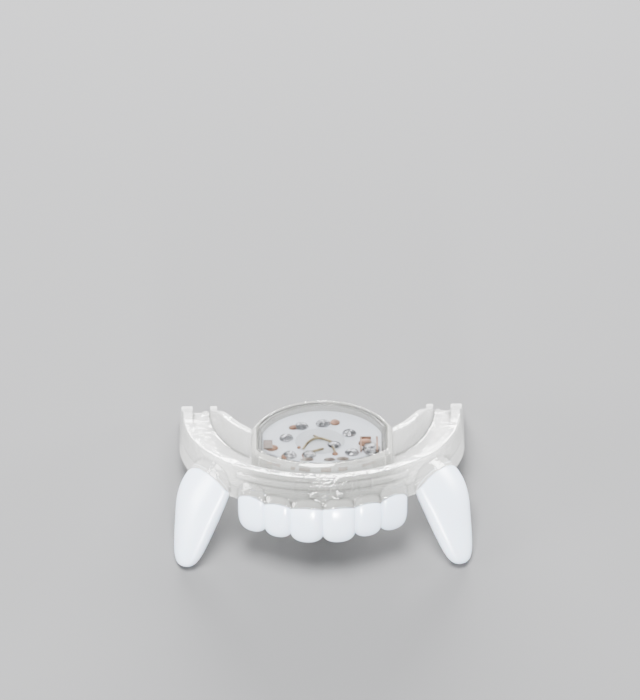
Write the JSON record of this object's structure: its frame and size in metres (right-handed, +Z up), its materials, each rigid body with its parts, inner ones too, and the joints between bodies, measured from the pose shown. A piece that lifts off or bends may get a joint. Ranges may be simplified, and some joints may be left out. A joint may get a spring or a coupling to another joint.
{
  "type": "light-up vampire fang denture",
  "caption": "Clear bite tray with a light capsule in the palate, white front teeth and long white fangs, worn over the upper teeth.",
  "frame": {"origin": "middle of the footprint, on the surface that the denture stands on", "axes": "+X across the arch, +Y towards the open rear of the arch, +Z up with the denture resting on its fang tips and rear ends"},
  "size_m": [0.0698, 0.0426, 0.0274],
  "materials": {
    "clear_plastic": "clear, slightly milky soft moulded plastic",
    "capsule_plastic": "clear moulded plastic with a faint warm grey tint",
    "window_plastic": "clear flat plastic window",
    "board_white": "white lacquered circuit board",
    "lamp_clear": "clear resin lamp body",
    "solder_silver": "shiny silvery solder",
    "contact_copper": "dull copper",
    "wire_tinned": "bare tinned wire",
    "tooth_white": "glossy bluish white plastic",
    "fang_white": "glossy bluish white plastic"
  },
  "bodies": {
    "root": {"tray": "clear_plastic", "light_capsule": "capsule_plastic", "capsule_window": "window_plastic", "circuit_board": "board_white", "led_strip": "board_white", "front_led_1": "lamp_clear", "front_led_2": "lamp_clear", "front_led_3": "lamp_clear", "front_led_4": "lamp_clear", "solder_joint_1": "solder_silver", "solder_joint_2": "solder_silver", "solder_joint_3": "solder_silver", "solder_joint_4": "solder_silver", "solder_joint_5": "solder_silver", "solder_joint_6": "solder_silver", "solder_joint_7": "solder_silver", "solder_joint_8": "solder_silver", "contact_pad": "contact_copper", "contact_bracket": "contact_copper", "wire_loop": "wire_tinned", "tooth_left_1": "tooth_white", "tooth_left_2": "tooth_white", "tooth_left_3": "tooth_white", "tooth_right_1": "tooth_white", "tooth_right_2": "tooth_white", "tooth_right_3": "tooth_white", "fang_left": "fang_white", "fang_right": "fang_white"}
  },
  "joints": []
}
